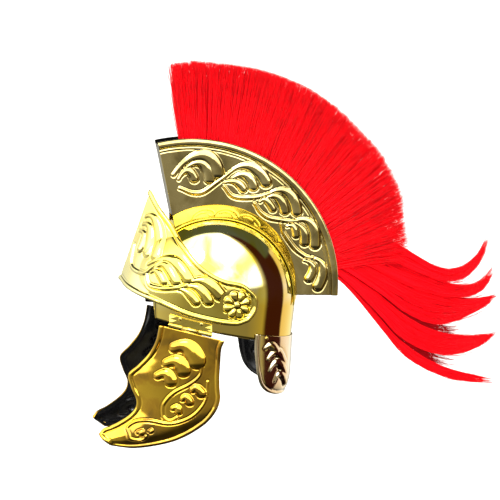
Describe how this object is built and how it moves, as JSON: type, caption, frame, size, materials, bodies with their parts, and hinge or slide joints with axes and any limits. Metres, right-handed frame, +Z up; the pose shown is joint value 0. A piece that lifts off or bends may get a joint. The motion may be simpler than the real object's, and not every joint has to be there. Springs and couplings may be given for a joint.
{
  "type": "legionary helmet",
  "caption": "Sheet brass legionary helmet with an embossed brow plate, a standing crest box with a red bristle plume, a neck guard and hinged cheek guards.",
  "frame": {"origin": "inside of the bowl's crown, where the helmet rests on the top of the head", "axes": "+Z up, the face looks along -Y, the wearer's left is +X"},
  "size_m": [0.2084, 0.6058, 0.5407],
  "materials": {
    "bowl": "polished",
    "brow_plate": "polished",
    "crest_foot_left": "polished",
    "crest_foot_right": "polished",
    "crest_plate_left": "polished",
    "crest_plate_right": "polished",
    "crest_cap_front": "polished",
    "crest_cap_back": "polished",
    "plume": "bristle",
    "neck_guard": "polished",
    "neck_rivet_left": "polished",
    "neck_rivet_right": "polished",
    "hinge_leaf_left": "polished",
    "hinge_leaf_right": "polished",
    "hinge_rivet_left_front": "polished",
    "hinge_rivet_left_back": "polished",
    "hinge_rivet_right_front": "polished",
    "hinge_rivet_right_back": "polished",
    "hinge_pin_left": "polished",
    "hinge_pin_right": "polished",
    "cheek_guard_left": "polished",
    "cheek_guard_right": "polished"
  },
  "bodies": {
    "root": {"bowl": "bowl", "brow_plate": "brow_plate", "crest_foot_left": "crest_foot_left", "crest_foot_right": "crest_foot_right", "crest_plate_left": "crest_plate_left", "crest_plate_right": "crest_plate_right", "crest_cap_front": "crest_cap_front", "crest_cap_back": "crest_cap_back", "plume": "plume", "neck_guard": "neck_guard", "neck_rivet_left": "neck_rivet_left", "neck_rivet_right": "neck_rivet_right", "hinge_leaf_left": "hinge_leaf_left", "hinge_leaf_right": "hinge_leaf_right", "hinge_rivet_left_front": "hinge_rivet_left_front", "hinge_rivet_left_back": "hinge_rivet_left_back", "hinge_rivet_right_front": "hinge_rivet_right_front", "hinge_rivet_right_back": "hinge_rivet_right_back", "hinge_pin_left": "hinge_pin_left", "hinge_pin_right": "hinge_pin_right"},
    "cheek_left": {"cheek_guard_left": "cheek_guard_left"},
    "cheek_right": {"cheek_guard_right": "cheek_guard_right"}
  },
  "joints": [
    {"name": "cheek_left_hinge", "type": "hinge", "parent": "root", "child": "cheek_left", "pos_m": [0.091, -0.043, -0.15685], "axis": [-0.2542, -0.9413, 0.2221], "range_deg": [-10, 85]},
    {"name": "cheek_right_hinge", "type": "hinge", "parent": "root", "child": "cheek_right", "pos_m": [-0.091, -0.043, -0.15685], "axis": [-0.2542, 0.9413, -0.2221], "range_deg": [-10, 85]}
  ]
}
